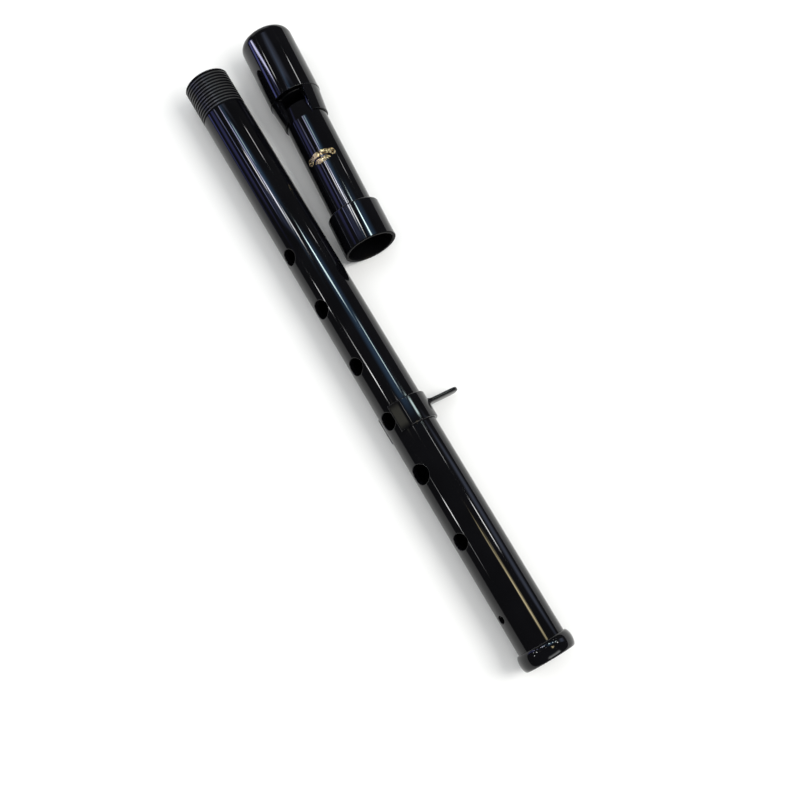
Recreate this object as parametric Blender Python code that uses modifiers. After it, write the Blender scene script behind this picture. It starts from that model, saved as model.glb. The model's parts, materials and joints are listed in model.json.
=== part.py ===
"""A two-piece black plastic whistle, taken apart: the body tube lies along X and the head lies beside it.

Everything is in metres with +Z up. Each half hangs on an empty whose local +Z runs along that half's
tube, towards the foot on the body and towards the socket mouth on the head. Turned pieces are
profiles in that local frame, and the angle of a detail is counted from world +Y towards world +Z.
"""

import math

import bpy

MM = 0.001
GAP = 0.3 * MM  # kept between pieces that touch in the real object
SEGMENTS = 48  # round every tube

# Body half, measured from the tenon end.
TUBE_RADIUS = 13.25 * MM
BORE_RADIUS = 10.25 * MM
BODY_LENGTH = 374.0 * MM
EDGE_CHAMFER = 0.5 * MM
GROOVES = 12
GROOVE_PITCH = 1.95 * MM
GROOVE_DEPTH = 0.45 * MM
GROOVE_WIDTH = 1.0 * MM
FIRST_GROOVE = 1.3 * MM
HOLES = ((120.5 * MM, 9.2 * MM, 149), (155.5 * MM, 10.6 * MM, 147), (193 * MM, 9.8 * MM, 145),
         (227.5 * MM, 9.8 * MM, 145), (260.5 * MM, 11.2 * MM, 143), (301 * MM, 9.2 * MM, 143),
         (345 * MM, 4.4 * MM, 159))  # place, diameter and angle; the last is the vent
RING_RADIUS = 15.4 * MM
RING_LENGTH = 9.3 * MM
RING_SHOULDER = 0.15  # the flat ends' share of the ring's thickness
RING_STEPS = 8

# Thumb rest: an open clip with a flat tab that stands out from it.
CLIP_RADIUS = 14.9 * MM
CLIP_LENGTH = 15.6 * MM
CLIP_PLACE = 229.0 * MM
CLIP_WRAP = math.radians(275)
TAB_ANGLE = math.radians(-15)
TAB_PLACE = 226.7 * MM
TAB_THICKNESS = 2.6 * MM
TAB_WIDTH = 8.0 * MM
TAB_REACH = 34.5 * MM  # from the tube's axis to the tip

# Head half, measured back from the socket mouth.
HEAD_TUBE_RADIUS = 12.4 * MM
HEAD_LENGTH = 143.9 * MM
SLEEVE_RADIUS = 15.4 * MM
TIP_ROUNDING = 4.5 * MM
TIP_STEPS = 6
PLUG_RECESS = 1.0 * MM
COLLAR_LENGTH = 23.5 * MM
SOCKET_RADIUS = TUBE_RADIUS + GAP
SOCKET_DEPTH = 20.0 * MM
WINDOW_TOP = 100.4 * MM
LABIUM_EDGE = 93.7 * MM
RAMP_END = 83.4 * MM
WINDOW_COLLAR_END = 85.0 * MM
WINDOW_COLLAR_RADIUS = 14.9 * MM
WINDOW_WIDTH = 15.0 * MM
WINDWAY_WIDTH = 14.0 * MM
WINDWAY_HEIGHT = 1.5 * MM
BLADE_THICKNESS = 0.4 * MM
WINDOW_ANGLE = math.radians(109)
ORNAMENT_PLACE = 56.7 * MM
ORNAMENT_LENGTH = 8.6 * MM
ORNAMENT_SPAN = math.radians(90)
ORNAMENT_ANGLE = math.radians(109)
ORNAMENT_THICKNESS = 0.3 * MM

# How the two halves lie on the surface. The origin is under the middle of the whole.
TENON_END = (-182.18 * MM, -21.24 * MM, RING_RADIUS)
SOCKET_MOUTH = (-47.5 * MM, 10.94 * MM, SLEEVE_RADIUS)
HEAD_YAW = math.radians(-4.25)

BLACK = (0.012, 0.012, 0.016, 1)
GOLD = (0.78, 0.52, 0.2, 1)
PAST = 2 * MM  # how far a cutter runs past what it cuts


def clear_scene():
    for obj in list(bpy.data.objects):
        bpy.data.objects.remove(obj, do_unlink=True)


def new_collection(name):
    collection = bpy.data.collections.new(name)
    bpy.context.scene.collection.children.link(collection)
    return collection


def plain_material(name, colour, roughness, metallic=0.0):
    material = bpy.data.materials.new(name)
    material.use_nodes = True
    shader = material.node_tree.nodes["Principled BSDF"]
    shader.inputs["Base Color"].default_value = colour
    shader.inputs["Roughness"].default_value = roughness
    shader.inputs["Metallic"].default_value = metallic
    return material


def new_frame(name, place, yaw=0.0):
    """An empty whose local Z lies in the ground plane, turned by yaw from world X."""
    frame = bpy.data.objects.new(name, None)
    frame.location = place
    frame.rotation_euler = (0, math.pi / 2, yaw)
    parts.objects.link(frame)
    return frame


def add(name, mesh, frame, material=None):
    """Adds a mesh as a part, or as a cutter if it has no material."""
    obj = bpy.data.objects.new(name, mesh)
    obj.parent = frame
    if material:
        mesh.materials.append(material)
        parts.objects.link(obj)
    else:
        obj.hide_render = True
        obj.display_type = "WIRE"
        cutters.objects.link(obj)
    return obj


def turned(name, outline, frame, material=None):
    """Turns a closed outline of (radius, height) points, outer side first and from the top down."""
    mesh = bpy.data.meshes.new(name)
    count = len(outline)
    edges = [(i, (i + 1) % count) for i in range(count)]
    mesh.from_pydata([(radius, 0, height) for radius, height in outline], edges, [])
    obj = add(name, mesh, frame, material)
    screw = obj.modifiers.new("Turn", "SCREW")
    screw.steps = screw.render_steps = SEGMENTS
    screw.use_merge_vertices = True
    screw.merge_threshold = 0.00001
    screw.use_smooth_shade = True
    return obj


def turned_strip(name, radius, thickness, low, high, span, middle, frame, material):
    """Part of a thin ring: a line turned through span about the angle middle, thickened outwards."""
    mesh = bpy.data.meshes.new(name)
    mesh.from_pydata([(radius, 0, high), (radius, 0, low)], [(0, 1)], [])
    obj = add(name, mesh, frame, material)
    obj.rotation_euler.z = local_turn(middle) - span / 2
    screw = obj.modifiers.new("Turn", "SCREW")
    screw.angle = span
    screw.steps = screw.render_steps = round(SEGMENTS * span / math.tau)
    solidify = obj.modifiers.new("Thickness", "SOLIDIFY")
    solidify.thickness = thickness
    solidify.offset = 1
    return obj


def local_turn(angle):
    """The turn about a frame's Z that brings its X to a direction at this angle from world +Y."""
    return math.pi / 2 + angle


def box(name, centre, size, turn, frame):
    """A cutter or a joined block: centre is (outwards, sideways, along), then all turned about the axis."""
    bpy.ops.mesh.primitive_cube_add(size=1)
    made = bpy.context.active_object
    mesh = made.data
    bpy.data.objects.remove(made)
    for vertex in mesh.vertices:
        vertex.co = [middle + side * extent for middle, side, extent in zip(centre, vertex.co, size)]
    obj = add(name, mesh, frame)
    obj.rotation_euler.z = local_turn(turn)
    return obj


def drill(name, diameter, low, high, along, turn, frame):
    """A round cutter that points outwards at this turn, from radius low to radius high."""
    bpy.ops.mesh.primitive_cylinder_add(vertices=24, radius=diameter / 2, depth=high - low)
    made = bpy.context.active_object
    mesh = made.data
    bpy.data.objects.remove(made)
    for vertex in mesh.vertices:
        x, y, z = vertex.co
        vertex.co = (z + (low + high) / 2, y, along - x)
    obj = add(name, mesh, frame)
    obj.rotation_euler.z = local_turn(turn)
    return obj


def combine(obj, other, operation="DIFFERENCE"):
    boolean = obj.modifiers.new(f"{operation.title()} {other.name}", "BOOLEAN")
    boolean.operation = operation
    boolean.object = other
    boolean.solver = "EXACT"


def stretched_arc(centre, reach, rise, start, end, steps):
    """Points on an ellipse in an outline, from the start angle to the end angle."""
    angles = [start + (end - start) * i / steps for i in range(steps + 1)]
    return [(centre[0] + reach * math.cos(a), centre[1] + rise * math.sin(a)) for a in angles]


def groove_points():
    """The tenon's grooves, from the lowest on the body up to the one by the tenon end."""
    points = []
    for index in reversed(range(GROOVES)):
        middle = FIRST_GROOVE + index * GROOVE_PITCH
        points += [(TUBE_RADIUS, middle + GROOVE_WIDTH / 2),
                   (TUBE_RADIUS - GROOVE_DEPTH, middle),
                   (TUBE_RADIUS, middle - GROOVE_WIDTH / 2)]
    return points


def body_tube(frame, material):
    outline = [(TUBE_RADIUS, BODY_LENGTH), *groove_points(),
               (TUBE_RADIUS, EDGE_CHAMFER), (TUBE_RADIUS - EDGE_CHAMFER, 0),
               (BORE_RADIUS, 0), (BORE_RADIUS, BODY_LENGTH)]
    tube = turned("body_tube", outline, frame, material)
    for number, (along, diameter, degrees) in enumerate(HOLES, 1):
        combine(tube, drill(f"hole_{number}", diameter, BORE_RADIUS / 2, TUBE_RADIUS + PAST,
                            along, math.radians(degrees), frame))


def foot_ring(frame, material):
    """A rounded bead whose outer side is a half circle stretched between two flat ends."""
    half = RING_LENGTH / 2
    inner = TUBE_RADIUS + GAP
    middle = BODY_LENGTH - half
    shoulder = inner + RING_SHOULDER * (RING_RADIUS - inner)
    side = stretched_arc((shoulder, middle), RING_RADIUS - shoulder, half, math.pi / 2, -math.pi / 2,
                         RING_STEPS)
    turned("foot_ring", [*side, (inner, middle - half), (inner, middle + half)], frame, material)


def thumb_rest(frame, material):
    inner = TUBE_RADIUS + GAP
    clip = turned_strip("thumb_rest", inner, CLIP_RADIUS - inner, CLIP_PLACE - CLIP_LENGTH / 2,
                        CLIP_PLACE + CLIP_LENGTH / 2, CLIP_WRAP, TAB_ANGLE, frame, material)
    root = (inner + CLIP_RADIUS) / 2
    tip_centre = TAB_REACH - TAB_WIDTH / 2
    shank = box("tab_shank", ((root + tip_centre) / 2, 0, TAB_PLACE),
                (tip_centre - root, TAB_WIDTH, TAB_THICKNESS), TAB_ANGLE, frame)
    bpy.ops.mesh.primitive_cylinder_add(vertices=32, radius=TAB_WIDTH / 2, depth=TAB_THICKNESS)
    made = bpy.context.active_object
    mesh = made.data
    bpy.data.objects.remove(made)
    tip = add("tab_tip", mesh, frame)
    turn = local_turn(TAB_ANGLE)
    tip.location = (tip_centre * math.cos(turn), tip_centre * math.sin(turn), TAB_PLACE)
    tip.rotation_euler.z = turn
    combine(shank, tip, "UNION")
    combine(clip, shank, "UNION")


def socket_collar(frame, material):
    """The wide ring at the head's lower end: a socket for the tenon, and a shoulder round the head tube."""
    outline = [(SLEEVE_RADIUS - EDGE_CHAMFER, 0), (SLEEVE_RADIUS, -EDGE_CHAMFER),
               (SLEEVE_RADIUS, EDGE_CHAMFER - COLLAR_LENGTH),
               (SLEEVE_RADIUS - EDGE_CHAMFER, -COLLAR_LENGTH),
               (HEAD_TUBE_RADIUS + GAP, -COLLAR_LENGTH), (HEAD_TUBE_RADIUS + GAP, -SOCKET_DEPTH),
               (SOCKET_RADIUS, -SOCKET_DEPTH), (SOCKET_RADIUS, 0)]
    turned("socket_collar", outline, frame, material)


def head_tube(frame, material):
    """The narrow tube, with the sloping ramp and its thin edge below the window."""
    low, high = -WINDOW_TOP + GAP, -SOCKET_DEPTH - GAP
    outline = [(HEAD_TUBE_RADIUS, high), (HEAD_TUBE_RADIUS, low), (BORE_RADIUS, low), (BORE_RADIUS, high)]
    tube = turned("head_tube", outline, frame, material)
    combine(tube, box("window_cutter", (HEAD_TUBE_RADIUS, 0, (low - PAST - LABIUM_EDGE) / 2),
                      (HEAD_TUBE_RADIUS, WINDOW_WIDTH, PAST - low - LABIUM_EDGE), WINDOW_ANGLE, frame))
    slope = (HEAD_TUBE_RADIUS - BORE_RADIUS - BLADE_THICKNESS) / (LABIUM_EDGE - RAMP_END)
    rise, run = PAST * slope, PAST
    far = HEAD_TUBE_RADIUS + PAST
    ramp = turned("ramp_cutter", [(far, -RAMP_END + run), (far, -LABIUM_EDGE - run),
                                  (BORE_RADIUS + BLADE_THICKNESS - rise, -LABIUM_EDGE - run),
                                  (HEAD_TUBE_RADIUS + rise, -RAMP_END + run)], frame)
    sides = box("ramp_sides", (HEAD_TUBE_RADIUS, 0, -(RAMP_END + LABIUM_EDGE) / 2),
                (HEAD_TUBE_RADIUS * 1.5, WINDOW_WIDTH, 2 * (LABIUM_EDGE - RAMP_END)), WINDOW_ANGLE, frame)
    combine(ramp, sides, "INTERSECT")
    combine(tube, ramp)


def window_collar(frame, material):
    """A ring round the window, open in front of it, so that it leaves an ear on each side."""
    inner = HEAD_TUBE_RADIUS + GAP
    high, low = -WINDOW_COLLAR_END, -WINDOW_TOP + GAP
    outline = [(WINDOW_COLLAR_RADIUS, high), (WINDOW_COLLAR_RADIUS, low), (inner, low), (inner, high)]
    ring = turned("window_collar", outline, frame, material)
    combine(ring, box("ear_gap_cutter", (SLEEVE_RADIUS, 0, (high + low) / 2),
                      (SLEEVE_RADIUS, WINDOW_WIDTH, high - low + 2 * PAST), WINDOW_ANGLE, frame))


def mouthpiece_sleeve(frame, material):
    inner = HEAD_TUBE_RADIUS + GAP
    lip = inner + GAP
    rounding = stretched_arc((lip, TIP_ROUNDING - HEAD_LENGTH), SLEEVE_RADIUS - lip, TIP_ROUNDING,
                             0, -math.pi / 2, TIP_STEPS)
    outline = [(SLEEVE_RADIUS - GAP, -WINDOW_TOP), (SLEEVE_RADIUS, -WINDOW_TOP - GAP), *rounding,
               (inner, GAP - HEAD_LENGTH), (inner, -WINDOW_TOP)]
    turned("mouthpiece_sleeve", outline, frame, material)


def windway_plug(frame, material):
    """The block inside the mouthpiece, with the curved windway cut along its top."""
    low, high = -HEAD_LENGTH + PLUG_RECESS, -WINDOW_TOP
    bpy.ops.mesh.primitive_cylinder_add(vertices=SEGMENTS, radius=HEAD_TUBE_RADIUS, depth=high - low)
    made = bpy.context.active_object
    mesh = made.data
    bpy.data.objects.remove(made)
    plug = add("windway_plug", mesh, frame, material)
    plug.location.z = (low + high) / 2
    far = HEAD_TUBE_RADIUS + PAST
    floor = HEAD_TUBE_RADIUS - WINDWAY_HEIGHT
    windway = turned("windway_cutter", [(far, high + PAST), (far, low - PAST),
                                        (floor, low - PAST), (floor, high + PAST)], frame)
    sides = box("windway_sides", (HEAD_TUBE_RADIUS, 0, (low + high) / 2),
                (HEAD_TUBE_RADIUS * 1.5, WINDWAY_WIDTH, high - low + 4 * PAST), WINDOW_ANGLE, frame)
    combine(windway, sides, "INTERSECT")
    combine(plug, windway)


def gold_ornament(frame, material):
    turned_strip("gold_ornament", HEAD_TUBE_RADIUS + GAP, ORNAMENT_THICKNESS,
                 -ORNAMENT_PLACE - ORNAMENT_LENGTH / 2, -ORNAMENT_PLACE + ORNAMENT_LENGTH / 2,
                 ORNAMENT_SPAN, ORNAMENT_ANGLE, frame, material)


clear_scene()
parts = new_collection("Whistle")
cutters = new_collection("Cutters")
black = plain_material("Black plastic", BLACK, 0.12)
gold = plain_material("Gold foil", GOLD, 0.3, 1.0)
body_frame = new_frame("body_frame", TENON_END)
head_frame = new_frame("head_frame", SOCKET_MOUTH, HEAD_YAW)
for make in (body_tube, foot_ring, thumb_rest):
    make(body_frame, black)
for make in (socket_collar, head_tube, window_collar, mouthpiece_sleeve, windway_plug):
    make(head_frame, black)
gold_ornament(head_frame, gold)
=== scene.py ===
"""Looks for a two-piece black plastic whistle: every CAD piece is replaced by a fine mesh of the same size.

Lengths are in metres. Each half has its own local frame: Z runs along the tube, X is level and Y is up,
so a detail's angle is counted from the level side towards the top. The body's frame starts at the
tenon end, and the head's frame starts at the socket mouth, with the head on its negative side.
"""

import json
import math

import bmesh
import bpy
from mathutils import Matrix, Vector


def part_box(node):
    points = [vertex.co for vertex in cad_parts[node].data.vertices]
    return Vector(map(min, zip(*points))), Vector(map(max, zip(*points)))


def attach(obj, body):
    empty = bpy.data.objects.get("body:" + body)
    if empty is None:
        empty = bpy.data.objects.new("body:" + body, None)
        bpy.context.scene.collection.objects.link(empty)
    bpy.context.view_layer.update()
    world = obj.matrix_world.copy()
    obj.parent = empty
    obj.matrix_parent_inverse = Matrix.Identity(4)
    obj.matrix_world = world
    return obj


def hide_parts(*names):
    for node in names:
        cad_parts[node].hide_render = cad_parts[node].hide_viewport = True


MM = 0.001
TAU = math.tau

# The same sizes as the CAD, in metres.
TUBE_RADIUS = 13.25 * MM
BORE_RADIUS = 10.25 * MM
GROOVES = 12
GROOVE_PITCH = 1.95 * MM
GROOVE_DEPTH = 0.45 * MM
GROOVE_WIDTH = 1.2 * MM
FIRST_GROOVE = 1.3 * MM
GROOVE_STEPS = 6
GROOVE_FULLNESS = 0.7  # below 1 the groove is fuller than a half sine
TENON_EDGE = ((0, 0.5 * MM), (0.15 * MM, 0.22 * MM), (0.5 * MM, 0))  # heights and depths of its rounding
LAND_DEPTH = 0.06 * MM  # faces less deep than this are the lands between the grooves, painted lighter than the grooves as painted light and shade
HOLES = ((120.5 * MM, 9.2 * MM, 149), (155.5 * MM, 10.6 * MM, 147), (193 * MM, 9.8 * MM, 145),
         (227.5 * MM, 9.8 * MM, 145), (260.5 * MM, 11.2 * MM, 143), (301 * MM, 9.2 * MM, 143),
         (345 * MM, 4.4 * MM, 159))  # place, diameter and angle; the last is the vent
HOLE_ROUNDING = 0.45 * MM
RING_RADIUS = 15.4 * MM
RING_SHOULDER = 0.15  # the flat ends' share of the ring's thickness

CLIP_RADIUS = 14.9 * MM
CLIP_LENGTH = 15.6 * MM
CLIP_PLACE = 229.0 * MM
CLIP_WRAP = math.radians(275)
CLIP_FLAT = math.radians(26)  # of each end, where the outside is flat
CLIP_ROUNDING = 0.7 * MM
CLIP_BLUNT = 0.04  # of the wall's thickness is left at the very ends
TAB_ANGLE = math.radians(-15)
TAB_PLACE = 226.7 * MM
TAB_THICKNESS = 2.6 * MM
TAB_WIDTH = 8.0 * MM
TAB_REACH = 34.5 * MM
TAB_FLARE = 0.8 * MM
TAB_FLARE_REACH = 1.1 * MM
TAB_SQUARENESS = 3.2  # the power of the section's superellipse
TAB_TIP_WIDTH = 0.02  # of the width is left at the very tip
TAB_TIP_THINNING = 0.55

HEAD_TUBE_RADIUS = 12.4 * MM
HEAD_LENGTH = 143.9 * MM
SLEEVE_RADIUS = 15.4 * MM
TIP_ROUNDING = 4.5 * MM
PLUG_RECESS = 1.0 * MM
COLLAR_LENGTH = 23.5 * MM
SOCKET_RADIUS = 13.55 * MM
SOCKET_DEPTH = 20.0 * MM
COLLAR_RIM = 0.4 * MM  # the rounding of the mouth's edge
WINDOW_TOP = 100.4 * MM
LABIUM_EDGE = 93.7 * MM
RAMP_END = 83.4 * MM
WINDOW_COLLAR_END = 85.0 * MM
WINDOW_COLLAR_RADIUS = 15.1 * MM
WINDOW_COLLAR_END_RADIUS = 13.4 * MM
WINDOW_WIDTH = 15.0 * MM
WINDWAY_WIDTH = 14.0 * MM
WINDWAY_HEIGHT = 1.5 * MM
BLADE_THICKNESS = 0.4 * MM
WINDOW_ANGLE = math.radians(109)
ORNAMENT_PLACE = 56.7 * MM
ORNAMENT_ANGLE = math.radians(109)
SCROLL_PLACE = 7.1 * MM  # of each scroll, from the ornament's middle
SCROLL_RADIUS = 2.2 * MM
SCROLL_WIDTHS = (1.0 * MM, 0.7 * MM)
SCROLL_START, SCROLL_TURN = -140, 520  # degrees
SCROLL_TIGHTENING = 0.82
GARLAND_SPAN = 0.86  # of the way to the scrolls
GARLAND_SAG = 1.3 * MM
GARLAND_DROP = 0.5 * MM
STEM_WIDTH = 0.8 * MM
LEAF_WIDTH = 1.3 * MM
FAN_WIDTH = 1.4 * MM
LEAF_PAIRS = 7
LEAF_LEAN, LEAF_BEND = 52, -14  # degrees
FAN_SIDE_LEAVES = 4
FAN_SPREAD, FAN_BEND = 21, 5  # degrees from leaf to leaf
FOIL_SUNK, FOIL_EDGE, FOIL_RIDGE = -0.02 * MM, 0.04 * MM, 0.16 * MM  # heights above the head tube

# Fineness of the meshes.
COLUMNS = 180
FIRST_COLUMN = math.radians(1)  # the holes lie at odd angles, so each has a column through its middle
ROUND_STEPS = 4
CLIP_COLUMNS = 90
CLIP_END_STEPS = 8
RIM_STEPS = 5
RIM_SHARES = (0.35, 0.7, 0.9, 1)  # of the way from a hole's square gap to its round edge
RING_STEPS = 32
TIP_STEPS = 24
TAB_POINTS = 28
TAB_STRAIGHT_STEPS = 16
TAB_TIP_STEPS = 14
WINDOW_COLUMNS = 40
REST_COLUMNS = 140  # round the rest of the tube, outside the window
LEAF_STEPS = 7
SCROLL_STEPS = 30
STEM_STEPS = 40
FILLET = 0.3 * MM
WELD = 0.001 * MM  # points closer than this are one point
NEARLY_STRAIGHT = math.radians(89.5)  # half of a corner's angle, past which it isn't rounded
SEAM = 0.02 * MM  # pieces that touch are this far apart
SAME_RADIUS = 0.001 * MM

# The camera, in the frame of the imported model.
CAMERA_PLACE = Vector((0.1639, -0.1128, 0.5969))
CAMERA_TARGET = Vector((0.0332, -0.0168, 0.0))
CAMERA_TOP = Vector((-0.8641, 0.5028, 0.0))  # the way along the floor that is up in the picture
CAMERA_WIDTH = math.radians(39.17)

# The lights. A lamp is given by where its highlight falls: for both ends of the highlight, a place along
# the half's tube in mm and an angle round it. Then come its width, its radiance and its colour.
# More than half of the angles were printed by a measuring program, so they are measurements, not a design.
LIGHT_SCALE = 4.0  # watts for each square metre of a light of radiance 1
LAMP_DISTANCE = 1.5
GLOW_DISTANCE = 1.7  # for wide, dim lamps, which hang behind the others
GLOW_WIDTH = 0.3  # lamps wider than this are glows
END_FADE, SIDE_FADE, SOFT_GAIN = 0.2, 0.5, 2.0  # shares of a lamp over which it fades, and what that costs
AMBIENT = 0.6  # the world's strength for the floor and the backdrop
GLOSS_AMBIENT = 0.08  # and its strength in gloss, which keeps black plastic black
KEY_RADIANCE = 5.6
FILL_RADIANCE = 0.9
WHITE, ICE, BLUE = (1, 1, 1), (0.8, 1, 1), (0.25, 0.55, 1.0)
VIOLET, PALE_VIOLET, SLATE = (0.3, 0.33, 1.0), (0.7, 0.7, 1.0), (0.6, 0.7, 1.0)
WARM, OLIVE = (1.0, 0.85, 0.5), (1.0, 0.98, 0.8)
BODY_LAMPS = (
    ("line_long", (15, 102.3), (104, 100.1), 0.14, 7, PALE_VIOLET),
    ("line_long_peak", (75, 100.8), (106, 100.1), 0.22, 10, WHITE),
    ("line_low", (15, 115), (105, 113.3), 0.1, 3, (0.5, 0.55, 1.0)),
    ("spot_tenon", (50, 71.9), (66, 71.9), 0.12, 6, WHITE),
    ("glow_middle", (127, 85.2), (158, 86.4), 0.28, 13, ICE),
    ("line_middle", (168, 79), (220, 79), 0.14, 10, ICE),
    ("spot_high", (112, 65.8), (123, 65.8), 0.1, 6, WHITE),
    ("spot_hole", (140, 122.7), (162, 122.7), 0.12, 11, WHITE),
    ("line_clip", (172, 117.6), (217, 115.1), 0.1, 6, WHITE),
    ("spot_clip", (196, 116.2), (215, 115.3), 0.14, 12, WHITE),
    ("line_beyond", (238, 73.9), (265, 73.9), 0.1, 5, WHITE),
    ("spot_beyond", (283, 71.2), (316, 71.2), 0.14, 14, WHITE),
    ("spot_low", (276, 122.7), (295, 122.7), 0.14, 14, WHITE),
    ("line_low_foot", (258, 122.7), (324, 122.7), 0.07, 3, WHITE),
    ("wedge", (290, 86.4), (366, 84), 0.2, 4, WARM),
    ("wedge_foot", (318, 85), (376, 82.8), 0.5, 3.2, WARM),
    ("blue_middle", (105, 84), (240, 84), 1.4, 0.7, BLUE),
    ("blue_tenon", (10, 100), (120, 97), 0.8, 0.6, BLUE),
    ("violet_tenon", (5, 128), (70, 121), 0.6, 0.7, VIOLET),
    ("grey_foot", (235, 60), (372, 62), 0.9, 0.6, SLATE),
    ("clip_high", (219, 73), (237, 73), 0.42, 9, ICE),
    ("clip_middle", (218, 96), (240, 96), 0.12, 3, WHITE),
    ("clip_end", (219, 109.5), (239, 109.5), 0.34, 0.4, OLIVE),
)
HEAD_LAMPS = (
    ("line_sleeve", (-120, 74.1), (-108, 74.1), 0.1, 8, WHITE),
    ("line_sleeve_low", (-130, 116.4), (-109, 116.4), 0.1, 7, WHITE),
    ("line_sleeve_long", (-143, 131), (-109, 121.1), 0.07, 11, PALE_VIOLET),
    ("line_tube", (-90, 99.4), (-60, 99.4), 0.12, 6, ICE),
    ("line_tube_bright", (-60, 107.2), (-30, 107.2), 0.14, 14, WHITE),
    ("line_tube_faint", (-90, 117.4), (-64, 119), 0.08, 2, PALE_VIOLET),
    ("line_collar", (-27, 89.2), (-5, 87.9), 0.14, 14, ICE),
    ("line_collar_low", (-27, 99.6), (-5, 98.7), 0.14, 13, WHITE),
    ("violet_sleeve", (-143, 137), (-105, 133), 1.2, 1.5, VIOLET),
    ("slate_sleeve", (-146, 97), (-103, 97), 1.1, 0.55, SLATE),
    ("slate_tube", (-92, 98), (-28, 98), 1.0, 0.45, BLUE),
    ("slate_collar", (-34, 110), (2, 110), 0.9, 0.45, (0.4, 0.5, 1.0)),
)
# Large pale panels low at the sides, for the edges that turn away: name, centre, size, radiance.
PANELS = (
    ("panel_tip", (-2.2, 0.0, 0.55), (2.4, 0.9), 0.6),
    ("panel_foot", (1.4, 0.35, 1.2), (1.8, 1.2), 1.8),
)


# ---------------------------------------------------------------- frames

def middle_of(node):
    low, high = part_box(node)
    return (Vector(low) + Vector(high)) / 2


def tube_frame(origin, along):
    """The local frame of a half: Z along it, Y up, X level."""
    up = Vector((0, 0, 1))
    level = up.cross(along)
    return Matrix.Translation(origin) @ Matrix((level, up, along)).transposed().to_4x4()


def body_frame():
    low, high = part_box("body_tube")
    centre = middle_of("body_tube")
    return tube_frame(Vector((low[0], centre.y, centre.z)), Vector((1, 0, 0)))


def head_frame():
    mouth = next(m for m in frame["record"]["mounts"] if m["name"] == "socket_mouth")
    along = Vector(mouth["axis"]).normalized()
    return tube_frame(middle_of("socket_collar") + along * COLLAR_LENGTH / 2, along)


# ---------------------------------------------------------------- outlines and lofts

def fillet(corners, steps=ROUND_STEPS):
    """A closed outline of (radius, height, rounding) corners with each corner rounded by an arc."""
    outline = []
    count = len(corners)
    for i, (x, y, rounding) in enumerate(corners):
        here = Vector((x, y))
        back = (Vector(corners[i - 1][:2]) - here).normalized()
        ahead = (Vector(corners[(i + 1) % count][:2]) - here).normalized()
        half = math.acos(max(-1, min(1, back.dot(ahead)))) / 2
        if rounding == 0 or half > NEARLY_STRAIGHT:
            outline += [tuple(here)] * (steps + 1)
            continue
        reach = rounding / math.tan(half)
        centre = here + (back + ahead).normalized() * rounding / math.sin(half)
        start, end = here + back * reach - centre, here + ahead * reach - centre
        first = math.atan2(start.y, start.x)
        sweep = (math.atan2(end.y, end.x) - first + math.pi) % TAU - math.pi
        for k in range(steps + 1):
            turn = first + sweep * k / steps
            outline.append((centre.x + rounding * math.cos(turn), centre.y + rounding * math.sin(turn)))
    return outline


def stations(outline, angle):
    return [(r * math.cos(angle), r * math.sin(angle), h) for r, h in outline]


def loft(rows, closed, caps=False):
    """A mesh through rows of points, each a closed loop. closed also joins the last row to the first."""
    bm = bmesh.new()
    made = [[bm.verts.new(p) for p in row] for row in rows]
    pairs = list(zip(made, made[1:])) + ([(made[-1], made[0])] if closed else [])
    for a, b in pairs:
        for i in range(len(a)):
            j = (i + 1) % len(a)
            bm.faces.new((a[i], a[j], b[j], b[i]))
    if caps:
        bm.faces.new(made[0])
        bm.faces.new(made[-1])
    bmesh.ops.remove_doubles(bm, verts=bm.verts, dist=WELD)
    bmesh.ops.dissolve_degenerate(bm, edges=bm.edges, dist=WELD)
    bmesh.ops.recalc_face_normals(bm, faces=bm.faces)
    return bm


def lathe(outline):
    """Turns a closed outline of (radius, height) points right round."""
    return loft([stations(outline, TAU * i / COLUMNS) for i in range(COLUMNS)], True)


def steady_normals(mesh, inner, outer):
    """Shades the plain parts of a tube's inside and outside as true cylinders."""
    normals = []
    for vertex in mesh.vertices:
        across = Vector((vertex.co.x, vertex.co.y, 0))
        normal = Vector((0, 0, 0))  # which keeps the shading as it is
        if abs(across.length - outer) < SAME_RADIUS:
            normal = across.normalized()
        if abs(across.length - inner) < SAME_RADIUS:
            normal = -across.normalized()
        normals.append(normal)
    mesh.normals_split_custom_set_from_vertices(normals)


def finish_piece(name, bm, place, rides_on, node, slot, *materials, pick=None, walls=None):
    """Makes the object, shades it smooth, gives each face its material and hands it to its body.

    walls are a tube's inside and outside radius, for pieces whose plain walls are shaded as true cylinders.
    """
    mesh = bpy.data.meshes.new(name)
    if pick:
        for face in bm.faces:
            face.material_index = pick(face.calc_center_median())
    for face in bm.faces:
        face.smooth = True
    bm.to_mesh(mesh)
    bm.free()
    for material in materials:
        mesh.materials.append(material)
    obj = bpy.data.objects.new(name, mesh)
    bpy.context.scene.collection.objects.link(obj)
    obj.matrix_world = place
    if walls:
        steady_normals(mesh, *walls)
    else:
        weighted = obj.modifiers.new("Even shading", "WEIGHTED_NORMAL")
        weighted.keep_sharp = True
    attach(obj, rides_on)
    if node:
        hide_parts(node)
    return obj


# ---------------------------------------------------------------- materials

def new_material(name):
    material = bpy.data.materials.new(name)
    material.use_nodes = True
    tree = material.node_tree
    return material, tree, tree.nodes["Principled BSDF"]


def noise(tree, scale, detail, stretch=(1, 1, 1)):
    """Noise in the object's own coordinates, stretched along its axes."""
    coordinates = tree.nodes.new("ShaderNodeTexCoord")
    mapping = tree.nodes.new("ShaderNodeMapping")
    mapping.inputs["Scale"].default_value = stretch
    texture = tree.nodes.new("ShaderNodeTexNoise")
    texture.inputs["Scale"].default_value = scale
    texture.inputs["Detail"].default_value = detail
    tree.links.new(coordinates.outputs["Object"], mapping.inputs["Vector"])
    tree.links.new(mapping.outputs["Vector"], texture.inputs["Vector"])
    return texture.outputs["Fac"]


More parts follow.
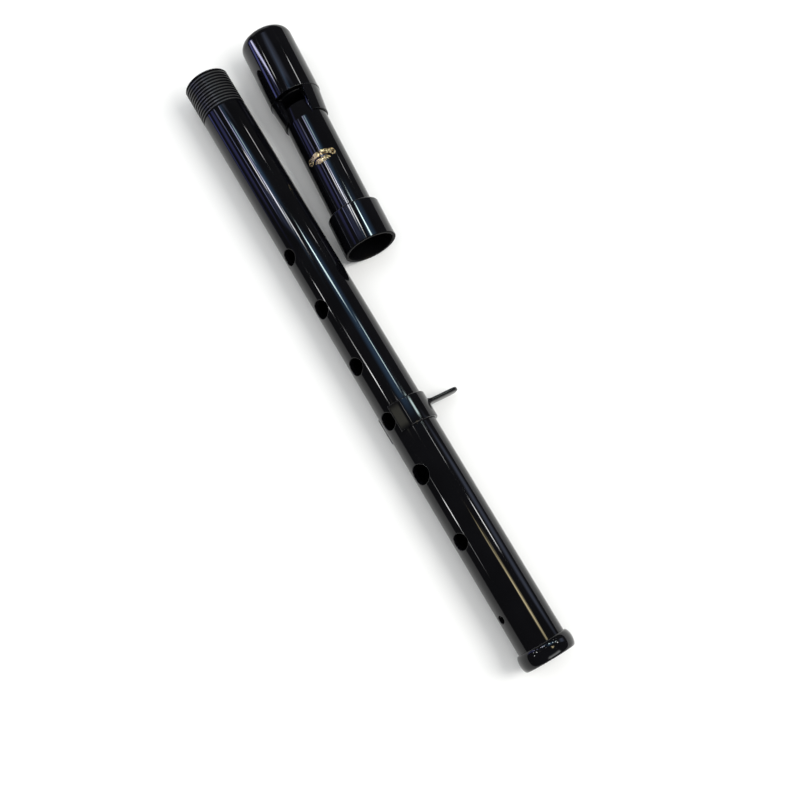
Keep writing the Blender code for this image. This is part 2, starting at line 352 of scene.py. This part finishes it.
def spread(tree, value, low, high, start=0.3, end=0.7):
    """Maps start..end of a value to low..high."""
    mapped = tree.nodes.new("ShaderNodeMapRange")
    mapped.inputs["From Min"].default_value = start
    mapped.inputs["From Max"].default_value = end
    mapped.inputs["To Min"].default_value = low
    mapped.inputs["To Max"].default_value = high
    tree.links.new(value, mapped.inputs["Value"])
    return mapped.outputs["Result"]


def mix_colours(tree, amount, first, second):
    mixed = tree.nodes.new("ShaderNodeMix")
    mixed.data_type = "RGBA"
    mixed.inputs["A"].default_value = (*first, 1)
    mixed.inputs["B"].default_value = (*second, 1)
    tree.links.new(amount, mixed.inputs["Factor"])
    return mixed.outputs["Result"]


def add_bump(tree, shader, height, strength, distance):
    bump = tree.nodes.new("ShaderNodeBump")
    bump.inputs["Strength"].default_value = strength
    bump.inputs["Distance"].default_value = distance
    tree.links.new(height, bump.inputs["Height"])
    tree.links.new(bump.outputs["Normal"], shader.inputs["Normal"])


def black_plastic(name, gloss_low, gloss_high, ripple, tone=(0.0015, 0.0015, 0.002), ior=1.4):
    """Polished black plastic: faint drawn lines along the tube, and a slight ripple in its gloss."""
    material, tree, shader = new_material(name)
    drawn = noise(tree, 900, 3, (1, 1, 0.02))
    smudge = noise(tree, 45, 5)
    tint = spread(tree, smudge, 0, 1)
    colour = mix_colours(tree, tint, tone, tuple(1.8 * c for c in tone))
    tree.links.new(colour, shader.inputs["Base Color"])
    tree.links.new(spread(tree, smudge, gloss_low, gloss_high), shader.inputs["Roughness"])
    add_bump(tree, shader, drawn, ripple, 0.00002)
    shader.inputs["IOR"].default_value = ior
    return material


def gold_foil():
    """Gold foil with worn, darker flecks."""
    material, tree, shader = new_material("Gold_foil")
    grain = noise(tree, 850, 4)
    colour = mix_colours(tree, spread(tree, grain, 0, 1, 0.46, 0.58), (0.95, 0.74, 0.4), (0.12, 0.07, 0.03))
    tree.links.new(colour, shader.inputs["Base Color"])
    tree.links.new(spread(tree, grain, 0.22, 0.45), shader.inputs["Roughness"])
    add_bump(tree, shader, noise(tree, 1600, 2), 0.6, 0.0001)
    shader.inputs["Metallic"].default_value = 1.0
    return material


def floor_material():
    material, tree, shader = new_material("Pale_floor")
    colour = mix_colours(tree, noise(tree, 3, 3), (0.86, 0.86, 0.85), (0.9, 0.9, 0.89))
    tree.links.new(colour, shader.inputs["Base Color"])
    shader.inputs["Roughness"].default_value = 0.6
    return material


# ---------------------------------------------------------------- the body half

def groove_rows():
    """(height, radius) rows of the tenon's rounded grooves, from the tenon end on."""
    rows = []
    for index in range(GROOVES):
        middle = FIRST_GROOVE + index * GROOVE_PITCH
        for k in range(GROOVE_STEPS + 1):
            across = k / GROOVE_STEPS
            dip = GROOVE_DEPTH * math.sin(math.pi * across) ** GROOVE_FULLNESS
            rows.append((middle + (across - 0.5) * GROOVE_WIDTH, TUBE_RADIUS - dip))
    return rows


class HoledTube:
    """A bored tube whose wall is cut by round holes with rounded edges."""

    HALF_COLUMNS = 20
    HALF_ROWS = 8
    HALF_LENGTH = 7.6 * MM

    def __init__(self, length, holes):
        self.bm = bmesh.new()
        self.length = length
        self.holes = holes
        self.step = TAU / COLUMNS
        self.rims = {}
        outer = self.wall(self.outer_rows(), outside=True)
        inner = self.wall(self.inner_rows(), outside=False)
        for low_or_high in (0, -1):
            self.bridge(outer[low_or_high], inner[low_or_high])
        bmesh.ops.recalc_face_normals(self.bm, faces=self.bm.faces)

    def hole_rows(self):
        spacing = self.HALF_LENGTH / self.HALF_ROWS
        offsets = [i * spacing for i in range(-self.HALF_ROWS, self.HALF_ROWS + 1)]
        return {along: [along + offset for offset in offsets] for along, _, _ in self.holes}

    def outer_rows(self):
        rows = [(height, TUBE_RADIUS - depth) for height, depth in TENON_EDGE] + groove_rows()
        for heights in self.hole_rows().values():
            rows += [(h, TUBE_RADIUS) for h in heights]
        return rows + [(self.length - FILLET, TUBE_RADIUS), (self.length, TUBE_RADIUS - FILLET)]

    def inner_rows(self):
        rows = [(0, BORE_RADIUS + FILLET), (FILLET, BORE_RADIUS)]
        for heights in self.hole_rows().values():
            rows += [(h, BORE_RADIUS) for h in heights]
        return rows + [(self.length - FILLET, BORE_RADIUS), (self.length, BORE_RADIUS + FILLET)]

    def wall(self, rows, outside):
        """The grid of one side of the wall, with a round hole cut for each of self.holes."""
        grid = [[self.bm.verts.new((r * math.cos(a), r * math.sin(a), h))
                 for a in (FIRST_COLUMN + j * self.step for j in range(COLUMNS))] for h, r in rows]
        heights = [h for h, _ in rows]
        skipped = set()
        for along, diameter, angle in self.holes:
            first = heights.index(self.hole_rows()[along][0])
            column = round((angle - FIRST_COLUMN) / self.step)
            spans = [(first + i, column + j) for i in range(2 * self.HALF_ROWS)
                     for j in range(-self.HALF_COLUMNS, self.HALF_COLUMNS)]
            skipped |= {(i, j % COLUMNS) for i, j in spans}
            edge = self.border(first, column)
            self.cut(grid, edge, along, diameter, angle, outside)
        for i in range(len(rows) - 1):
            for j in range(COLUMNS):
                if (i, j) not in skipped:
                    k = (j + 1) % COLUMNS
                    self.bm.faces.new((grid[i][j], grid[i][k], grid[i + 1][k], grid[i + 1][j]))
        return grid

    def border(self, first, column):
        """(row, column) places round a hole's gap, in order."""
        last, left, right = first + 2 * self.HALF_ROWS, column - self.HALF_COLUMNS, column + self.HALF_COLUMNS
        path = [(first, j) for j in range(left, right)] + [(i, right) for i in range(first, last)]
        path += [(last, j) for j in range(right, left, -1)]
        return path + [(i, left) for i in range(last, first, -1)]

    def cut(self, grid, edge, along, diameter, angle, outside):
        """Fills the gap between the grid and the round hole, and rounds the hole's edge."""
        out = Vector((math.cos(angle), math.sin(angle), 0))
        side = Vector((-math.sin(angle), math.cos(angle), 0))
        ring = [grid[i][j % COLUMNS] for i, j in edge]
        places = [(v.co.z - along, v.co.dot(side)) for v in ring]
        turns = [math.atan2(v, u) for u, v in places]
        radius = diameter / 2
        wall, inward = (TUBE_RADIUS, -1) if outside else (BORE_RADIUS, 1)

        def row_at(share, reach, drop):
            row = []
            for (u, v), turn in zip(places, turns):
                u2 = u + (reach * math.cos(turn) - u) * share
                v2 = v + (reach * math.sin(turn) - v) * share
                height = math.sqrt(wall * wall - v2 * v2) + inward * drop
                row.append(self.bm.verts.new(out * height + side * v2 + Vector((0, 0, along + u2))))
            return row

        rows = [ring] + [row_at(share, radius + HOLE_ROUNDING, 0) for share in RIM_SHARES]
        for k in range(1, RIM_STEPS + 1):
            turn = math.pi / 2 * k / RIM_STEPS
            rows.append(row_at(1, radius + HOLE_ROUNDING * (1 - math.sin(turn)),
                               HOLE_ROUNDING * (1 - math.cos(turn))))
        for a, b in zip(rows, rows[1:]):
            self.bridge(a, b)
        if outside:
            self.rims[along] = rows[-1]
        else:
            self.bridge(self.rims[along], rows[-1])

    def bridge(self, a, b):
        for i in range(len(a)):
            j = (i + 1) % len(a)
            self.bm.faces.new((a[i], a[j], b[j], b[i]))


def make_body_tube(place):
    low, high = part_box("body_tube")
    holes = [(along, diameter, math.radians(degrees)) for along, diameter, degrees in HOLES]
    bm = HoledTube(high[0] - low[0], holes).bm
    tenon_end = FIRST_GROOVE + GROOVES * GROOVE_PITCH

    def pick(centre):
        radius = math.hypot(centre.x, centre.y)
        if radius < BORE_RADIUS + 0.5 * MM:
            return 1
        if centre.z > tenon_end:
            return 0
        # the lands get a lighter black than the grooves: painted light and shade, in place of the grooves'
        # own shade
        return 3 if radius > TUBE_RADIUS - LAND_DEPTH else 2

    finish_piece("body_tube_fine", bm, place, "body", "body_tube", "black_plastic",
                 outer_black, bore_black, cut_black, lands_painted_light, pick=pick, walls=(BORE_RADIUS, TUBE_RADIUS))


def stretched_arc(centre, reach, rise, start, end, steps):
    """Points on an ellipse in an outline, from the start angle to the end angle."""
    angles = [start + (end - start) * i / steps for i in range(steps + 1)]
    return [(centre[0] + reach * math.cos(a), centre[1] + rise * math.sin(a)) for a in angles]


def make_foot_ring(place):
    """A rounded bead: a stretched half circle between two flat ends."""
    low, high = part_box("foot_ring")
    tube_low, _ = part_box("body_tube")
    half = (high[0] - low[0]) / 2
    middle = (high[0] + low[0]) / 2 - tube_low[0]
    inner = TUBE_RADIUS + SEAM
    shoulder = inner + RING_SHOULDER * (RING_RADIUS - inner)
    side = stretched_arc((shoulder, middle), RING_RADIUS - shoulder, half,
                         math.pi / 2, -math.pi / 2, RING_STEPS)
    outline = [*side, (inner, middle - half), (inner, middle + half)]
    finish_piece("foot_ring_fine", lathe(outline), place, "body", "foot_ring",
                 "black_plastic", outer_black)


def rounded_section(width, thickness):
    """A flat rounded cross-section, as (sideways, along) points."""
    section = []
    for i in range(TAB_POINTS):
        turn = TAU * i / TAB_POINTS
        c, s = math.cos(turn), math.sin(turn)
        section.append((width / 2 * math.copysign(abs(c) ** (2 / TAB_SQUARENESS), c),
                        thickness / 2 * math.copysign(abs(s) ** (2 / TAB_SQUARENESS), s)))
    return section


def tab_rows():
    """Sections of the tab, from inside the clip's wall out to the round tip."""
    rows = []
    root = (TUBE_RADIUS + CLIP_RADIUS) / 2
    tip_centre = TAB_REACH - TAB_WIDTH / 2
    straight = [root + (tip_centre - root) * i / TAB_STRAIGHT_STEPS for i in range(TAB_STRAIGHT_STEPS)]
    turns = [math.pi / 2 * i / TAB_TIP_STEPS for i in range(TAB_TIP_STEPS + 1)]
    tip = [tip_centre + TAB_WIDTH / 2 * math.sin(turn) for turn in turns]
    for reach in straight + tip:
        beyond = max(0.0, reach - tip_centre) / (TAB_WIDTH / 2)
        width = TAB_WIDTH * math.sqrt(max(TAB_TIP_WIDTH ** 2, 1 - beyond * beyond))
        flare = TAB_FLARE * math.exp(-max(0.0, reach - CLIP_RADIUS) / TAB_FLARE_REACH)
        thickness = (TAB_THICKNESS + 2 * flare) * (1 - TAB_TIP_THINNING * beyond ** 8)
        rows.append([(reach, side, TAB_PLACE + along)
                     for side, along in rounded_section(width + flare, thickness)])
    return rows


def clip_reach(angle, first, last):
    """The clip's outer radius: round, but flat for a stretch before each end."""
    from_end = min(angle - first, last - angle)
    if from_end > CLIP_FLAT:
        return CLIP_RADIUS
    return CLIP_RADIUS * math.cos(CLIP_FLAT / 2) / math.cos(from_end - CLIP_FLAT / 2)


def clip_rows():
    """Sections of the clip from one end of its wrap to the other, with both ends rounded."""
    inner = TUBE_RADIUS + SEAM
    low, high = CLIP_PLACE - CLIP_LENGTH / 2, CLIP_PLACE + CLIP_LENGTH / 2
    first, last = TAB_ANGLE - CLIP_WRAP / 2, TAB_ANGLE + CLIP_WRAP / 2
    lip = math.asin((CLIP_RADIUS - inner) / 2 / CLIP_RADIUS)
    ends = [lip * (1 - math.cos(math.pi / 2 * i / CLIP_END_STEPS)) for i in range(CLIP_END_STEPS)]
    plain = last - first - 2 * lip
    angles = [first + end for end in ends]
    angles += [first + lip + plain * i / CLIP_COLUMNS for i in range(CLIP_COLUMNS + 1)]
    angles += [last - end for end in reversed(ends)]
    rows = []
    for angle in angles:
        outer = clip_reach(angle, first, last)
        into = min(1.0, min(angle - first, last - angle) / lip)
        half = (outer - inner) / 2 * max(CLIP_BLUNT, math.sqrt(into * (2 - into)))
        middle = (outer + inner) / 2
        corners = [(middle - half, low, CLIP_ROUNDING / 3), (middle + half, low, CLIP_ROUNDING),
                   (middle + half, high, CLIP_ROUNDING), (middle - half, high, CLIP_ROUNDING / 3)]
        share = half / ((outer - inner) / 2)
        rows.append(stations(fillet([(r, h, rounding * share) for r, h, rounding in corners]), angle))
    return rows


def make_thumb_rest(place):
    finish_piece("thumb_rest_clip", loft(clip_rows(), False, caps=True), place, "thumb_clip", "thumb_rest",
                 "black_plastic", outer_black)
    tab = loft(tab_rows(), False, caps=True)
    bmesh.ops.rotate(tab, verts=tab.verts, matrix=Matrix.Rotation(TAB_ANGLE, 3, "Z"))
    finish_piece("thumb_rest_tab", tab, place, "thumb_clip", None, "black_plastic", outer_black)


# ---------------------------------------------------------------- the head half

def make_socket_collar(place):
    inner = HEAD_TUBE_RADIUS + SEAM
    corners = [(SLEEVE_RADIUS, 0, COLLAR_RIM), (SLEEVE_RADIUS, -COLLAR_LENGTH, 1.1 * MM),
               (inner, -COLLAR_LENGTH, 0.05 * MM), (inner, -SOCKET_DEPTH, 0.1 * MM),
               (SOCKET_RADIUS, -SOCKET_DEPTH, 0.3 * MM), (SOCKET_RADIUS, 0, 0.4 * MM)]
    outline = fillet(corners, 5)

    def pick(centre):
        radius = math.hypot(centre.x, centre.y)
        if radius < SOCKET_RADIUS + 0.1 * MM:
            return 1
        return 2 if centre.z > -COLLAR_RIM else 0

    finish_piece("socket_collar_fine", lathe(outline), place, "head", "socket_collar",
                 "black_plastic", outer_black, bore_black, cut_black, pick=pick)


def window_angles(width, radius):
    """Column angles right round, doubled up at the window's two side walls."""
    half = math.asin(width / 2 / radius)
    wall = 0.03 * MM / radius
    inside = [WINDOW_ANGLE - half + wall + (2 * half - 2 * wall) * i / WINDOW_COLUMNS
              for i in range(WINDOW_COLUMNS + 1)]
    outside = [WINDOW_ANGLE + half + (TAU - 2 * half) * i / REST_COLUMNS for i in range(REST_COLUMNS + 1)]
    return [(a, True) for a in inside], [(a, False) for a in outside]


def make_head_tube(place):
    """The narrow tube. In the window's sector it ends in a ramp that falls to a thin edge."""
    high, low = -SOCKET_DEPTH - SEAM, -WINDOW_TOP + SEAM
    blade = BORE_RADIUS + BLADE_THICKNESS
    plain = fillet([(HEAD_TUBE_RADIUS, high, FILLET), (HEAD_TUBE_RADIUS, -RAMP_END, 0),
                    (HEAD_TUBE_RADIUS, -LABIUM_EDGE, 0), (HEAD_TUBE_RADIUS, low, 0.1 * MM),
                    (BORE_RADIUS, low, 0.1 * MM), (BORE_RADIUS, high, FILLET)])
    ramped = fillet([(HEAD_TUBE_RADIUS, high, FILLET), (HEAD_TUBE_RADIUS, -RAMP_END, 0.25 * MM),
                     (blade + 0.2 * MM, -LABIUM_EDGE + 1.2 * MM, 0), (blade, -LABIUM_EDGE, 0.12 * MM),
                     (BORE_RADIUS, -LABIUM_EDGE, 0.12 * MM), (BORE_RADIUS, high, FILLET)])
    inside, outside = window_angles(WINDOW_WIDTH, HEAD_TUBE_RADIUS)
    rows = [stations(ramped if cut else plain, angle) for angle, cut in inside + outside]

    def pick(centre):
        return 1 if math.hypot(centre.x, centre.y) < BORE_RADIUS + 0.2 * MM else 0

    finish_piece("head_tube_fine", loft(rows, True), place, "head", "head_tube", "black_plastic",
                 outer_black, bore_black, pick=pick)


def make_window_collar(place):
    """A tapered ring, open in front of the window, with an ear on each side of the ramp."""
    inner = HEAD_TUBE_RADIUS + SEAM
    high, low = -WINDOW_COLLAR_END, -WINDOW_TOP + SEAM
    outline = fillet([(WINDOW_COLLAR_END_RADIUS, high, 0.2 * MM), (WINDOW_COLLAR_RADIUS, low, 0.15 * MM),
                      (inner, low, 0.05 * MM), (inner, high, 0.05 * MM)])
    _, outside = window_angles(WINDOW_WIDTH, inner)
    rows = [stations(outline, angle) for angle, _ in outside]
    obj = finish_piece("window_collar_fine", loft(rows, False, caps=True), place, "head", "window_collar",
                       "black_plastic", outer_black)
    bevel = obj.modifiers.new("Soft edges", "BEVEL")
    bevel.width = 0.2 * MM
    bevel.segments = 3
    bevel.limit_method = "ANGLE"
    bevel.angle_limit = math.radians(60)
    obj.modifiers.move(len(obj.modifiers) - 1, 0)


def make_mouthpiece_sleeve(place):
    inner = HEAD_TUBE_RADIUS + SEAM
    lip = inner + 0.3 * MM
    edge = 0.35 * MM
    rounding = stretched_arc((lip, TIP_ROUNDING - HEAD_LENGTH), SLEEVE_RADIUS - lip, TIP_ROUNDING,
                             0, -math.pi / 2, TIP_STEPS)
    mouth = stretched_arc((SLEEVE_RADIUS - edge, -WINDOW_TOP - edge), edge, edge, math.pi / 2, 0, 5)
    outline = [*mouth, *rounding, (inner, 0.15 * MM - HEAD_LENGTH), (inner, -WINDOW_TOP)]
    finish_piece("mouthpiece_sleeve_fine", lathe(outline), place, "head",
                 "mouthpiece_sleeve", "black_plastic", outer_black)


def make_windway_plug(place):
    low, high = -HEAD_LENGTH + PLUG_RECESS, -WINDOW_TOP
    floor = HEAD_TUBE_RADIUS - WINDWAY_HEIGHT
    inside, outside = window_angles(WINDWAY_WIDTH, HEAD_TUBE_RADIUS)
    edge = 0.5 * MM
    angles = inside + outside

    def ring(height, shrink):
        return [((floor if cut else HEAD_TUBE_RADIUS) - shrink, angle, height) for angle, cut in angles]

    turns = [math.pi / 2 * k / ROUND_STEPS for k in range(ROUND_STEPS + 1)]
    front = [ring(high - edge + edge * math.sin(turn), edge * (1 - math.cos(turn))) for turn in turns]
    rows = [ring(low, edge), ring(low + edge, 0), *front]
    points = [[(r * math.cos(a), r * math.sin(a), h) for r, a, h in row] for row in rows]
    finish_piece("windway_plug_fine", loft(points, False, caps=True), place, "head", "windway_plug",
                 "black_plastic", bore_black)


# ---------------------------------------------------------------- the ornament

def leaf(start, direction, length, width, bend):
    """A leaf's middle line and widths, as (round the tube, along the tube) points."""
    line = []
    widths = []
    for i in range(LEAF_STEPS + 1):
        share = i / LEAF_STEPS
        turn = direction + bend * share
        line.append((start[0] + length * share * math.cos(turn), start[1] + length * share * math.sin(turn)))
        widths.append(max(0.08 * MM, width * math.sin(math.pi * min(1, 0.12 + 0.88 * share)) ** 0.8))
    return line, widths


def scroll(side):
    """A spiral at one end of the garland."""
    line = []
    widths = []
    for i in range(SCROLL_STEPS + 1):
        share = i / SCROLL_STEPS
        turn = math.radians(SCROLL_START + SCROLL_TURN * share)
        radius = SCROLL_RADIUS * (1 - SCROLL_TIGHTENING * share)
        line.append((side * (SCROLL_PLACE + radius * math.cos(turn)), radius * math.sin(turn)))
        widths.append(SCROLL_WIDTHS[0] + (SCROLL_WIDTHS[1] - SCROLL_WIDTHS[0]) * share)
    return line, widths


def garland_place(share):
    """A place on the garland's stem, with share from -1 at one scroll to 1 at the other."""
    return GARLAND_SPAN * SCROLL_PLACE * share, GARLAND_SAG * (share * share - 1) - GARLAND_DROP


def ornament_strokes():
    """The scrolls, the leafy garland between them and the fan of leaves beside it."""
    strokes = [scroll(-1), scroll(1)]
    stem = [garland_place(2 * i / STEM_STEPS - 1) for i in range(STEM_STEPS + 1)]
    strokes.append((stem, [STEM_WIDTH] * len(stem)))
    for side in (-1, 1):
        for i in range(LEAF_PAIRS):
            start = garland_place(side * (0.04 + 0.135 * i))
            for lean in (-1, 1):
                direction = math.radians(90 - side * (90 - LEAF_LEAN * lean))
                length = (2.5 - 0.08 * i) * MM
                bend = math.radians(LEAF_BEND * side * lean)
                strokes.append(leaf(start, direction, length, LEAF_WIDTH, bend))
    for i in range(-FAN_SIDE_LEAVES, FAN_SIDE_LEAVES + 1):
        direction = math.radians(90 - FAN_SPREAD * i)
        reach = (2.6 + 0.4 * abs(i)) * MM
        start = (0.3 * i * MM, 1.0 * MM)
        strokes.append(leaf(start, direction, reach, FAN_WIDTH, math.radians(FAN_BEND * i)))
    return strokes


def make_ornament(place):
    """Foil strokes that stand a little proud of the tube, each with a low ridge along its middle."""
    bm = bmesh.new()
    base, top, ridge = (HEAD_TUBE_RADIUS + height for height in (FOIL_SUNK, FOIL_EDGE, FOIL_RIDGE))
    for line, widths in ornament_strokes():
        rings = []
        for i, (across, along) in enumerate(line):
            before, after = line[max(0, i - 1)], line[min(len(line) - 1, i + 1)]
            normal = Vector((before[1] - after[1], after[0] - before[0])).normalized()
            ring = []
            for share, radius in ((-0.5, base), (-0.5, top), (0, ridge), (0.5, top), (0.5, base)):
                offset = normal * share * widths[i]
                angle = ORNAMENT_ANGLE + (across + offset.x) / HEAD_TUBE_RADIUS
                height = along + offset.y - ORNAMENT_PLACE
                ring.append(bm.verts.new((radius * math.cos(angle), radius * math.sin(angle), height)))
            rings.append(ring)
        for first, second in zip(rings, rings[1:]):
            for i in range(5):
                j = (i + 1) % 5
                bm.faces.new((first[i], first[j], second[j], second[i]))
        bm.faces.new(rings[0])
        bm.faces.new(rings[-1])
    bmesh.ops.recalc_face_normals(bm, faces=bm.faces)
    finish_piece("gold_ornament_fine", bm, place, "head", "gold_ornament", "gold_foil", gold)


# ---------------------------------------------------------------- stage, light and camera

def make_floor():
    bm = bmesh.new()
    bmesh.ops.create_grid(bm, x_segments=2, y_segments=2, size=4)
    mesh = bpy.data.meshes.new("floor")
    bm.to_mesh(mesh)
    bm.free()
    mesh.materials.append(floor_material())
    floor = bpy.data.objects.new("floor", mesh)
    bpy.context.scene.collection.objects.link(floor)


def area_light(name, place, along, aim, size, radiance, colour):
    """A rectangular light, with its long side along a direction, that shines at a point."""
    light = bpy.data.lights.new(name, "AREA")
    light.shape = "RECTANGLE"
    light.size, light.size_y = size
    light.energy = radiance * LIGHT_SCALE * size[0] * size[1]
    light.color = colour
    obj = bpy.data.objects.new(name, light)
    back = (Vector(place) - Vector(aim)).normalized()
    side = Vector(along) - back * back.dot(Vector(along))
    side.normalize()
    turned = Matrix((side, back.cross(side), back)).transposed().to_4x4()
    obj.matrix_world = Matrix.Translation(place) @ turned
    obj.visible_camera = False
    bpy.context.scene.collection.objects.link(obj)
    return obj


def fade(tree, place, end):
    """Rises from 0 at both edges of a light to 1 at a share of the way across it."""
    ridge = tree.nodes.new("ShaderNodeMath")
    ridge.operation = "PINGPONG"
    ridge.inputs[1].default_value = 0.5
    rise = tree.nodes.new("ShaderNodeMapRange")
    rise.interpolation_type = "SMOOTHSTEP"
    rise.inputs["From Max"].default_value = end
    tree.links.new(place, ridge.inputs[0])
    tree.links.new(ridge.outputs["Value"], rise.inputs["Value"])
    return rise.outputs["Result"]


def soften(light):
    """Lets a light fade towards all its edges."""
    light.use_nodes = True
    tree = light.node_tree
    place = tree.nodes.new("ShaderNodeNewGeometry")
    split = tree.nodes.new("ShaderNodeSeparateXYZ")
    both = tree.nodes.new("ShaderNodeMath")
    both.operation = "MULTIPLY"
    tree.links.new(place.outputs["Parametric"], split.inputs["Vector"])
    tree.links.new(fade(tree, split.outputs["X"], END_FADE), both.inputs[0])
    tree.links.new(fade(tree, split.outputs["Y"], SIDE_FADE), both.inputs[1])
    strength = tree.nodes.new("ShaderNodeMath")
    strength.operation = "MULTIPLY"
    strength.inputs[1].default_value = SOFT_GAIN
    tree.links.new(both.outputs["Value"], strength.inputs[0])
    tree.links.new(strength.outputs["Value"], tree.nodes["Emission"].inputs["Strength"])


def mirrored(tube, distance, along, degrees):
    """Where a lamp hangs so that its highlight falls at a place along a tube and an angle round it."""
    turn = math.radians(degrees)
    normal = tube.to_3x3() @ Vector((math.cos(turn), math.sin(turn), 0))
    spot = tube @ Vector((0, 0, along * MM)) + normal * TUBE_RADIUS
    view = (CAMERA_PLACE - spot).normalized()
    return spot + (2 * normal * normal.dot(view) - view) * distance


def lamp_strip(name, start, end, width, radiance, colour):
    """A long lamp seen only as a highlight in the gloss."""
    size = ((end - start).length, width)
    obj = area_light(name, (start + end) / 2, end - start, (0, 0, 0), size, radiance, colour)
    obj.visible_diffuse = False
    soften(obj.data)


def soft_light(name, place, size, radiance):
    """A large white light that leaves no highlight of its own."""
    obj = area_light(name, place, (1, 0, 0), (0, 0, 0), (size, size), radiance, (1, 0.99, 0.97))
    obj.visible_glossy = False


def make_lights():
    world = bpy.data.worlds.new("Soft studio")
    bpy.context.scene.world = world
    world.use_nodes = True
    tree = world.node_tree
    background = tree.nodes["Background"]
    background.inputs["Color"].default_value = (0.96, 0.98, 1.0, 1)
    rays = tree.nodes.new("ShaderNodeLightPath")
    tree.links.new(spread(tree, rays.outputs["Is Glossy Ray"], AMBIENT, GLOSS_AMBIENT, 0, 1),
                   background.inputs["Strength"])
    soft_light("key", (0.5, 1.1, 1.7), 1.2, KEY_RADIANCE)
    soft_light("fill", (-0.4, -0.6, 2.0), 2.0, FILL_RADIANCE)
    for tube, lamps in ((body, BODY_LAMPS), (head, HEAD_LAMPS)):
        for name, first, last, width, radiance, colour in lamps:
            distance = GLOW_DISTANCE if width > GLOW_WIDTH else LAMP_DISTANCE
            start, end = mirrored(tube, distance, *first), mirrored(tube, distance, *last)
            lamp_strip(name, start, end, width, radiance, colour)
    for name, place, (length, height), radiance in PANELS:
        reach = Vector((0, length / 2, 0))
        lamp_strip(name, Vector(place) - reach, Vector(place) + reach, height, radiance, WHITE)


def make_camera():
    camera = bpy.data.cameras.new("camera")
    camera.angle = CAMERA_WIDTH
    camera.clip_start = 0.01
    obj = bpy.data.objects.new("camera", camera)
    back = (CAMERA_PLACE - CAMERA_TARGET).normalized()
    right = CAMERA_TOP.cross(back).normalized()
    top = back.cross(right)
    obj.matrix_world = Matrix.Translation(CAMERA_PLACE) @ Matrix((right, top, back)).transposed().to_4x4()
    bpy.context.scene.collection.objects.link(obj)
    bpy.context.scene.camera = obj


def set_colours():
    view = bpy.context.scene.view_settings
    view.view_transform = "Standard"
    view.look = "None"


with open("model.json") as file:
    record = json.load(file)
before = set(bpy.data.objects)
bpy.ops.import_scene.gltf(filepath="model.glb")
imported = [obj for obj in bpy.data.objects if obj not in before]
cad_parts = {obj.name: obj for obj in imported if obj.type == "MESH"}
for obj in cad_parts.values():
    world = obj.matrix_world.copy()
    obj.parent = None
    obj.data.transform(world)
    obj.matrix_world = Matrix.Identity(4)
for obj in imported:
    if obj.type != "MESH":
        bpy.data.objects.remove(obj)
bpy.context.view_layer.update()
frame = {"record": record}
outer_black = black_plastic("Black_plastic", 0.03, 0.07, 0.12)
bore_black = black_plastic("Bore_plastic", 0.3, 0.4, 0.3)
cut_black = black_plastic("Cut_plastic", 0.35, 0.45, 0.3, ior=1.12)
# A lighter copy of the black plastic for the tenon's lands: painted light, so the grooves beside them read as
# shaded
lands_painted_light = black_plastic("Lands_painted_light_plastic", 0.25, 0.35, 0.3, (0.02, 0.02, 0.02))
gold = gold_foil()
body, head = body_frame(), head_frame()
for make in (make_body_tube, make_foot_ring, make_thumb_rest):
    make(body)
for make in (make_socket_collar, make_head_tube, make_window_collar, make_mouthpiece_sleeve,
             make_windway_plug, make_ornament):
    make(head)
make_floor()
make_lights()
make_camera()
set_colours()
